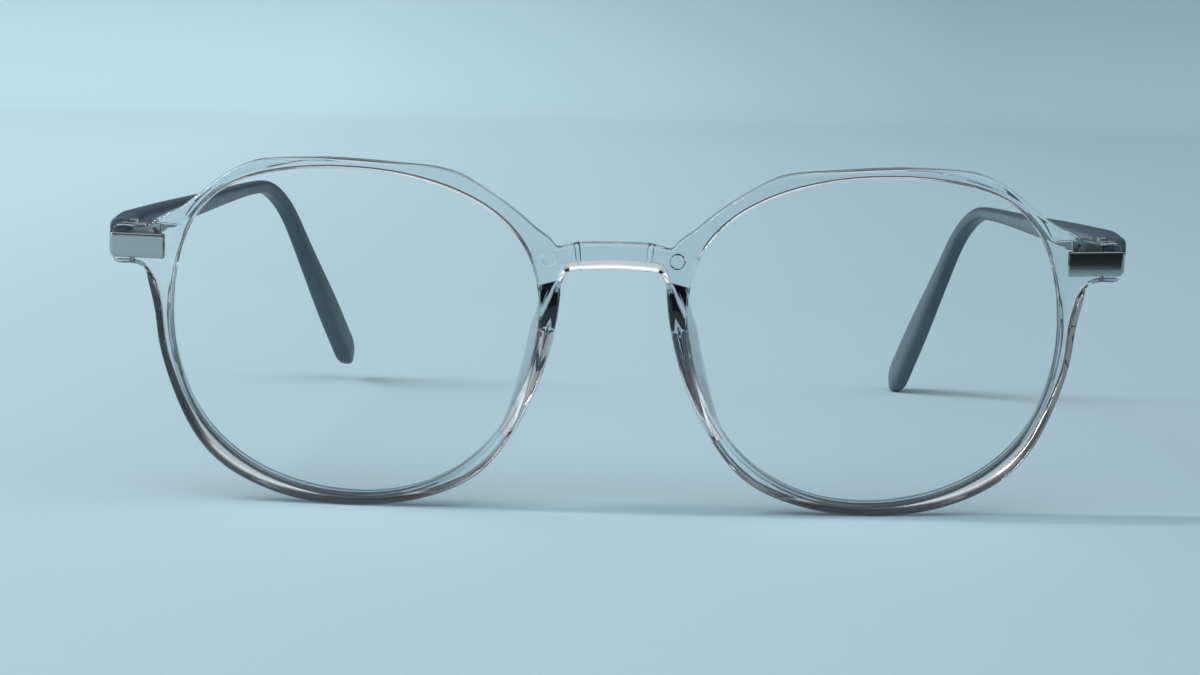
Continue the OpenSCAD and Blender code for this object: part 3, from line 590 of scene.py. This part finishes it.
def nose_pad(side, sections=56, upper=8, lower=-16.5, reach=5.6, flare=2, edge=1.5):
    """A pad as a row of arches over the rim's back, rising from the top and easing out below."""
    squareness = 0.4
    verts, per = [], 0
    for j in range(sections + 1):
        q = 0.02 + 0.96 * j / sections
        t = 180 - math.degrees(math.asin((upper + (lower - upper) * q) / (SIDE_D[4] + 2.4)))
        r, width = open_r(t), rim_width(t - 360)
        u = np.array([math.cos(math.radians(t)), math.sin(math.radians(t))])
        r0, r1 = r + width - 0.3, r + 0.3
        y0, y1 = (on_sphere(LENS_X + p * u[0], p * u[1]) + THICK for p in (r0, r1))
        g = min(1, q / 0.3) ** 0.85 * (1 - q**3)
        base, top, d = (r0 - r1) / 2, min(r0 - r1, edge) / 2, 0.2 + reach * g
        fine = [(r0, y0 - 0.5)]
        for w in np.linspace(0, math.pi, 25):
            out = abs(math.sin(w)) ** squareness
            aside = math.copysign(abs(math.cos(w)) ** squareness, math.cos(w))
            half = (base + (top - base) * out * g) * aside
            mid = (r0 + r1) / 2 - flare * g * out
            level = (y1 - y0) * (r0 - mid - half) / (r0 - r1) * (1 - out)
            fine.append((mid + half, y0 - 0.2 + level + d * out))
        fine.append((r1, y1 - 0.5))
        per = len(fine)
        verts += [(LENS_X + p[0] * u[0], p[1], p[0] * u[1]) for p in fine]
    return new_object("pad", verts, tube_faces(sections + 1, per), move=mirrored(leaned, side))


def ejector_mark(x, v, depth, side):
    """A ring pressed into the back of the front."""
    turns = 48
    verts = []
    for r, d in ((0.88, THICK + 0.02), (1.0, THICK - depth), (1.12, THICK + 0.02)):
        verts += [(x + r * math.cos(w), front_depth(x + r * math.cos(w), v + r * math.sin(w)) + d,
                   v + r * math.sin(w)) for w in np.linspace(0, 2 * math.pi, turns, endpoint=False)]
    faces = [(a * turns + k, a * turns + (k + 1) % turns, b * turns + (k + 1) % turns, b * turns + k)
             for a, b in ((0, 1), (1, 2), (2, 0)) for k in range(turns)]
    return new_object("mark", verts, faces, move=mirrored(leaned, side))


def bridge_scoop(side, x, radius, depth):
    """A narrow upright hollow where the bridge's back meets the rim's back."""
    turns = 48
    verts = []
    for v, shift in ((8.5, -0.25), (11, 0), (12.2, 0.1), (14.5, 0.3)):
        y = front_depth(x, 11) + THICK - depth + radius
        verts += [(x + shift + radius * math.cos(w), y + radius * math.sin(w), v)
                  for w in np.linspace(0, 2 * math.pi, turns, endpoint=False)]
    return new_object("scoop", verts, tube_faces(4, turns), move=mirrored(leaned, side))


verts, faces = front_mesh()
front = new_object("moulded_front", verts, faces, weld=1e-4, move=leaned)
for side in (1, -1):
    combine(front, nose_pad(side), "UNION")
    combine(front, end_block(side), "UNION")
for side in (1, -1):
    combine(front, plate_slot(side), "DIFFERENCE")
    combine(front, leaf_pocket(side), "DIFFERENCE")
combine(front, bridge_scoop(1, 4.9, 0.5, 0.2), "DIFFERENCE")
combine(front, bridge_scoop(-1, 5.0, 0.4, 0.3), "DIFFERENCE")
combine(front, ejector_mark(8.7, 10.5, 0.12, 1), "DIFFERENCE")
combine(front, ejector_mark(8.9, 10.5, 0.05, -1), "DIFFERENCE")
combine(front, joint_cut(), "DIFFERENCE")
smooth(front, 32)
dress(front, PLASTIC, "front", "crystal_plastic", "front_frame")


# Lenses
def lens(name, side):
    turns, rings = 240, 26
    front_face, back_face = 1.06, 2.26
    verts, faces = [], []
    for depth in (front_face, back_face):
        for k in range(rings + 1):
            share = k / rings
            for j in range(turns):
                a = 360 * j / turns
                r = (open_r(a) + groove(a) - 0.05) * share
                x = LENS_X + r * math.cos(math.radians(a))
                v = r * math.sin(math.radians(a))
                verts.append((x, on_sphere(x, v) + depth, v))
    layer = (rings + 1) * turns
    for base, flip in ((0, False), (layer, True)):
        for k in range(rings):
            for j in range(turns):
                m = (j + 1) % turns
                quad = (base + k * turns + j, base + k * turns + m,
                        base + (k + 1) * turns + m, base + (k + 1) * turns + j)
                faces.append(quad[::-1] if flip else quad)
    for j in range(turns):
        m = (j + 1) % turns
        faces.append((rings * turns + j, rings * turns + m,
                      layer + rings * turns + m, layer + rings * turns + j))
    obj = new_object(name + "_clear", verts, faces, weld=1e-4, move=mirrored(leaned, side))
    smooth(obj, 40)
    dress(obj, LENS, "front", "lens", name)


lens("lens_right", 1)
lens("lens_left", -1)


# Chrome corner plates
def corner_plate(name, side):
    r = 0.8
    path = [(x, face_y(x, -PLATE_PROUD), 0.0) for x in np.linspace(END_FLAT, PLATE_X - r, 14)]
    turn0, turn1 = -90 + math.degrees(math.atan(END_SLOPE)), -math.degrees(math.atan(TOE))
    cx, cy = PLATE_X - r, face_y(PLATE_X - r, -PLATE_PROUD) + r
    for w in np.linspace(turn0, turn1, 12):
        path.append((cx + r * math.cos(math.radians(w)), cy + r * math.sin(math.radians(w)),
                     (w - turn0) / (turn1 - turn0)))
    for y in np.linspace(cy + 0.1, PLATE_BACK, 12)[1:]:
        path.append((PLATE_X - TOE * max(0, y - cy), y, 1.0))
    pts = np.array([p[:2] for p in path])
    normals = []
    for i in range(len(pts)):
        tan = pts[min(i + 1, len(pts) - 1)] - pts[max(i - 1, 0)]
        tan = tan / np.linalg.norm(tan)
        normals.append(np.array([-tan[1], tan[0]]))
    low, high = PLATE_BOTTOM, PLATE_BOTTOM + PLATE_H

    def crown(z):
        return 0.022 * ((2 * z - low - high) / PLATE_H) ** 2

    verts, per = [], 0
    for p, nrm, (_, _, side_share) in zip(pts, normals, path):
        e0 = 0.12
        e1 = e0 + (0.9 - e0) * side_share
        prof = [(crown(high - e0) + e0 * (1 - math.cos(a)), high - e0 * (1 - math.sin(a)))
                for a in quarter(7)[::-1]]
        prof += [(crown(z), z) for z in np.linspace(high - e0, low + e1, 13)[1:-1]]
        prof += [(crown(low + e1) + e1 * (1 - math.cos(a)), low + e1 * (1 - math.sin(a)))
                 for a in quarter(9)]
        prof += [(PLATE_T - 0.08, low), (PLATE_T, low + 0.08)]
        prof += [(PLATE_T, high - 0.08), (PLATE_T - 0.08, high)]
        verts += [(p[0] + nrm[0] * d, p[1] + nrm[1] * d, z) for d, z in prof]
        per = len(prof)
    faces = tube_faces(len(pts), per)
    obj = new_object(name + "_bright", verts, faces, move=mirrored(leaned, side))
    smooth(obj, 35)
    dress(obj, CHROME, "front", "chrome_plate", name)


corner_plate("corner_plate_right", 1)
corner_plate("corner_plate_left", -1)

# Temples
ARM_Z, STRAIGHT, DROP, BEND_R, TIP_A = 36.9, 90.7, math.radians(1.1), 18.0, math.radians(58.9)
TIP_H, TIP_T, BEND_H, BEND_T, ARM_H, ARM_H1, ARM_T = 7.2, 3.2, 2.8, 2.7, 3.6, 4.8, 4.2
TIP_IN = 0.265
BEND_LEN = BEND_R * (TIP_A - DROP)
BEND_0 = np.array([STRAIGHT * math.cos(DROP), -STRAIGHT * math.sin(DROP)])
BEND_1 = BEND_0 + BEND_R * np.array([math.sin(TIP_A) - math.sin(DROP), math.cos(TIP_A) - math.cos(DROP)])
TIP_LEN = (ARM_Z + BEND_1[1] - TIP_H / 2) / math.sin(TIP_A)
ARM_LEN = STRAIGHT + BEND_LEN + TIP_LEN
ARM_X = HINGE_X + 1.5 + ARM_T / 2


def arm_at(s):
    """Place and downward angle of the arm's middle line at a length from the hinge."""
    if s < STRAIGHT:
        return np.array([s * math.cos(DROP), -s * math.sin(DROP)]), DROP
    if s > STRAIGHT + BEND_LEN:
        return BEND_1 + (s - STRAIGHT - BEND_LEN) * np.array([math.cos(TIP_A), -math.sin(TIP_A)]), TIP_A
    a = DROP + (s - STRAIGHT) / BEND_R
    return BEND_0 + BEND_R * np.array([math.sin(a) - math.sin(DROP), math.cos(a) - math.cos(DROP)]), a


def sideways(s, toe):
    """How far the arm has turned inward at a length from the hinge."""
    s0, s1 = STRAIGHT - 12.7, STRAIGHT + 9.3
    if s < s0:
        return -toe * s
    if s < s1:
        return -toe * s - (TIP_IN - toe) * (s - s0) ** 2 / (2 * (s1 - s0))
    return -toe * s1 - (TIP_IN - toe) * (s1 - s0) / 2 - TIP_IN * (s - s1)


HEIGHTS = [(0, ARM_H), (5, ARM_H1), (STRAIGHT, BEND_H), (STRAIGHT + 10, 1.08 * BEND_H),
           (STRAIGHT + 26, 0.7 * TIP_H), (ARM_LEN - 7, 0.98 * TIP_H), (ARM_LEN, TIP_H)]
# The arms' undersides are cut away a little
CUTS = [(0, 0), (8, 0.3), (30, 0.7), (70, 0.75), (STRAIGHT, 0.65), (STRAIGHT + 10, 0.5),
        (STRAIGHT + 26, 0), (ARM_LEN, 0)]
THICKS = [(0, ARM_T), (5, ARM_T - 0.2), (30, (ARM_T + BEND_T) / 2 - 0.1), (STRAIGHT, BEND_T),
          (STRAIGHT + 18, BEND_T), (ARM_LEN - 8, TIP_T), (ARM_LEN, TIP_T)]


def along(keys, s):
    """Smooth values between the keys, without overshoot."""
    xs, ys = [k[0] for k in keys], [k[1] for k in keys]
    k = max(0, min(len(keys) - 2, int(np.searchsorted(xs, s) - 1)))
    d = [(ys[i + 1] - ys[i]) / (xs[i + 1] - xs[i]) for i in range(len(keys) - 1)]

    def slope(i):
        if i in (0, len(keys) - 1):
            return d[0] if i == 0 else d[-1]
        return 0.0 if d[i - 1] * d[i] <= 0 else 2 * d[i - 1] * d[i] / (d[i - 1] + d[i])

    w = xs[k + 1] - xs[k]
    q = min(1.0, max(0.0, (s - xs[k]) / w))
    return ((1 + 2 * q) * (1 - q) ** 2 * ys[k] + q * q * (3 - 2 * q) * ys[k + 1]
            + w * q * (1 - q) * (slope(k) * (1 - q) - slope(k + 1) * q))


def temple(name, side, toe, lift, body):
    """An arm with its tip; its sections are squares with strongly rounded corners."""
    count, power = 48, 0.6
    verts = []
    # Sections: (length from the hinge, reach beyond the arm's end, share of the full size)
    marks = [(0.0, 0.0, 0.86), (0.12, 0.0, 0.95), (0.3, 0.0, 1.0)]
    marks += [(s, 0.0, 1.0) for s in np.linspace(1.0, ARM_LEN, 150)]
    for w in (10, 20, 30, 40, 50, 60, 68, 75, 81):
        a = math.radians(w)
        marks.append((ARM_LEN, TIP_H / 2 * math.sin(a), math.cos(a)))
    tilt = math.radians(lift)
    for s, e, q in marks:
        c, a = arm_at(s)
        cut = along(CUTS, s) / 2
        h = (along(HEIGHTS, s) / 2 - cut) * q
        t = along(THICKS, s) / 2 * ((0.2 + 0.8 * q) if e else q)
        for k in range(count):
            w = 2 * math.pi * k / count
            cw, sw = math.cos(w), math.sin(w)
            x = t * math.copysign(abs(cw) ** power, cw)
            z = h * math.copysign(abs(sw) ** power, sw) + cut
            px = side * (ARM_X + sideways(s, toe) - TIP_IN * e) + x
            py = JOINT_Y + 0.2 + c[0] + e * math.cos(a) + z * math.sin(a)
            pz = ARM_Z + c[1] - e * math.sin(a) + z * math.cos(a)
            dy, dz = py - JOINT_Y, pz - ARM_Z
            py = JOINT_Y + dy * math.cos(tilt) - dz * math.sin(tilt)
            pz = ARM_Z + dy * math.sin(tilt) + dz * math.cos(tilt)
            verts.append((px, py + SHIFT_Y, max(pz, 0.0)))
    faces = tube_faces(len(marks), count)
    obj = new_object(name + "_slate", verts, faces)
    smooth(obj, 50)
    dress(obj, SLATE, body, "slate_plastic", name)


temple("temple_arm_right", 1, 0.06, 0.0, "temple_right")
temple("temple_arm_left", -1, 0.048, 1.4, "temple_left")

# Hinge leaves and screws keep the part's own solids
for name, obj in nodes.items():
    if "screw" in name or "leaf" in name:
        obj.data.materials.clear()
        obj.data.materials.append(SCREW if "screw" in name else STEEL)


# Table, light and camera
PAPER_PAINTED_LIT, PAPER_PAINTED_SHADED = (0.62, 0.82, 0.91), (0.40, 0.555, 0.64)
MIRROR_SLANT = 0.344


def table():
    """Table that curves up into a low backdrop."""
    profile = [(-900, 0), (1500, 0)]
    profile += [(1500 + 300 * math.sin(w), 300 - 300 * math.cos(w)) for w in np.linspace(0, 1.1, 24)[1:]]
    verts = [(x, y, z) for y, z in profile for x in (-1800, 1800)]
    faces = [(2 * i, 2 * i + 1, 2 * i + 3, 2 * i + 2) for i in range(len(profile) - 1)]
    obj = new_object("table", verts, faces, weld=0)
    smooth(obj, 60)
    mat, tree, bsdf = material("table_paper")
    pos = tree.nodes.new("ShaderNodeTexCoord")
    split = tree.nodes.new("ShaderNodeSeparateXYZ")
    tree.links.new(pos.outputs["Object"], split.inputs["Vector"])
    # Painted light and shade: the paper is lighter on the left and darker on the right, as the lamp from
    # the left falls; it is also slightly darker nearer the glasses and darker up the backdrop
    painted_shade = ramp(tree, split.outputs["X"], 0, 1, -0.25, 0.25)
    paper = blend(tree, painted_shade, PAPER_PAINTED_LIT, PAPER_PAINTED_SHADED)
    far = ramp(tree, split.outputs["Y"], 0.93, 1, 0.1, 1.0)
    level = calculate(tree, "MULTIPLY", far, ramp(tree, split.outputs["Z"], 1, 0.84, 0, 0.1))
    tree.links.new(blend(tree, level, (0, 0, 0), paper), bsdf.inputs["Base Color"])
    bsdf.inputs["Roughness"].default_value = 0.9
    bsdf.inputs["Specular IOR Level"].default_value = 0.2
    bump(tree, bsdf, noise(tree, 1200, 3), 0.15, 0.0002)
    # Painted reflection: mirrored in the metal or the plastic, the table is painted dark beyond a
    # slanting edge before the glasses, for a dark room
    slant = calculate(tree, "MULTIPLY", split.outputs["X"], -MIRROR_SLANT)
    beyond = ramp(tree, calculate(tree, "ADD", slant, split.outputs["Y"]), 1, 0, -0.262, -0.248)
    path = tree.nodes.new("ShaderNodeLightPath")
    # Mirrored inside the clear plastic, it is also painted dark a little beyond the picture's sides
    wide = calculate(tree, "MULTIPLY", calculate(tree, "MAXIMUM", split.outputs["Y"], 0), 0.2)
    across = calculate(tree, "ABSOLUTE", split.outputs["X"], 0)
    outside = ramp(tree, calculate(tree, "SUBTRACT", across, wide), 0, 1, 0.085, 0.1)
    behind = ramp(tree, split.outputs["Y"], 0, 1, -0.09, -0.07)
    both_sides = calculate(tree, "MULTIPLY", outside, behind)
    bounced = calculate(tree, "MINIMUM", path.outputs["Glossy Depth"], 1)
    inside = calculate(tree, "MULTIPLY", bounced, path.outputs["Is Transmission Ray"])
    sides = calculate(tree, "MULTIPLY", both_sides, inside)
    front = calculate(tree, "MULTIPLY", beyond, bounced)
    painted_dark_reflection = calculate(tree, "MAXIMUM", sides, front)
    painted_dark_room = tree.nodes.new("ShaderNodeBsdfDiffuse")
    painted_dark_room.inputs["Color"].default_value = (0.03, 0.035, 0.04, 1)
    mix = tree.nodes.new("ShaderNodeMixShader")
    tree.links.new(painted_dark_reflection, mix.inputs["Fac"])
    tree.links.new(bsdf.outputs["BSDF"], mix.inputs[1])
    tree.links.new(painted_dark_room.outputs["BSDF"], mix.inputs[2])
    tree.links.new(mix.outputs["Shader"], tree.nodes["Material Output"].inputs["Surface"])
    obj.data.materials.append(mat)


table()


def lamp(name, place, target, wide, tall, power):
    data = bpy.data.lights.new(name, "AREA")
    data.shape, data.size, data.size_y, data.energy = "RECTANGLE", wide, tall, power
    obj = bpy.data.objects.new(name, data)
    obj.location = place
    obj.rotation_euler = (Vector(target) - Vector(place)).to_track_quat("-Z", "Y").to_euler()
    scene.collection.objects.link(obj)


lamp("key", (-2.1, -0.12, 1.6), (0, -0.066, 0.0), 0.14, 2.4, 36)


def studio():
    """Dark room with bright areas, pale for the camera and straight through clear pieces."""
    dimmest, backdrop = 0.035, 0.6
    world = bpy.data.worlds.new("studio")
    scene.world = world
    world.use_nodes = True
    tree = world.node_tree
    back = tree.nodes["Background"]
    coord = tree.nodes.new("ShaderNodeTexCoord")
    split = tree.nodes.new("ShaderNodeSeparateXYZ")
    tree.links.new(coord.outputs["Generated"], split.inputs["Vector"])
    above = ramp(tree, split.outputs["Z"], 0, 1.1, 0.4, 0.7)
    before = ramp(tree, split.outputs["Y"], 1, 0, -0.05, 0.25)
    side_light = ramp(tree, split.outputs["X"], 0.5, 0, -0.85, -0.4)
    dim = ramp(tree, split.outputs["Z"], 0.03, 0.12, 0.15, 0.6)
    lit = calculate(tree, "ADD", calculate(tree, "MULTIPLY", above, before),
                    calculate(tree, "ADD", side_light, dim))
    room = calculate(tree, "ADD", lit, dimmest)
    path = tree.nodes.new("ShaderNodeLightPath")
    pale = tree.nodes.new("ShaderNodeMix")
    pale.inputs["B"].default_value = backdrop
    bounced = calculate(tree, "MINIMUM", path.outputs["Glossy Depth"], 1)
    unmirrored = calculate(tree, "SUBTRACT", 1, bounced)
    through = calculate(tree, "MULTIPLY", unmirrored, path.outputs["Is Transmission Ray"])
    seen = calculate(tree, "MAXIMUM", path.outputs["Is Camera Ray"], through)
    tree.links.new(seen, pale.inputs["Factor"])
    tree.links.new(room, pale.inputs["A"])
    tree.links.new(pale.outputs["Result"], back.inputs["Strength"])
    back.inputs["Color"].default_value = (0.92, 0.97, 1, 1)


def set_camera():
    """The photograph's camera, fitted to the rims, the bridge and both temples."""
    data = bpy.data.cameras.new("camera")
    data.sensor_width, data.lens = 36, 78.41
    data.clip_start, data.clip_end = 0.01, 20
    camera = bpy.data.objects.new("camera", data)
    scene.collection.objects.link(camera)
    pitch, yaw, roll = math.radians(6.7), math.radians(-1.185), math.radians(1.033)
    ahead = Vector((math.sin(yaw) * math.cos(pitch), math.cos(yaw) * math.cos(pitch), -math.sin(pitch)))
    right = Vector((math.cos(yaw), -math.sin(yaw), 0))
    upward = right.cross(ahead)
    right, upward = (math.cos(roll) * right + math.sin(roll) * upward,
                     math.cos(roll) * upward - math.sin(roll) * right)
    turn = Matrix((right, upward, -ahead)).transposed().to_4x4()
    camera.matrix_world = Matrix.Translation(Vector((5.58, -352.8 + SHIFT_Y, 66.0)) * MM) @ turn
    scene.camera = camera


studio()
set_camera()
scene.view_settings.view_transform = "Standard"
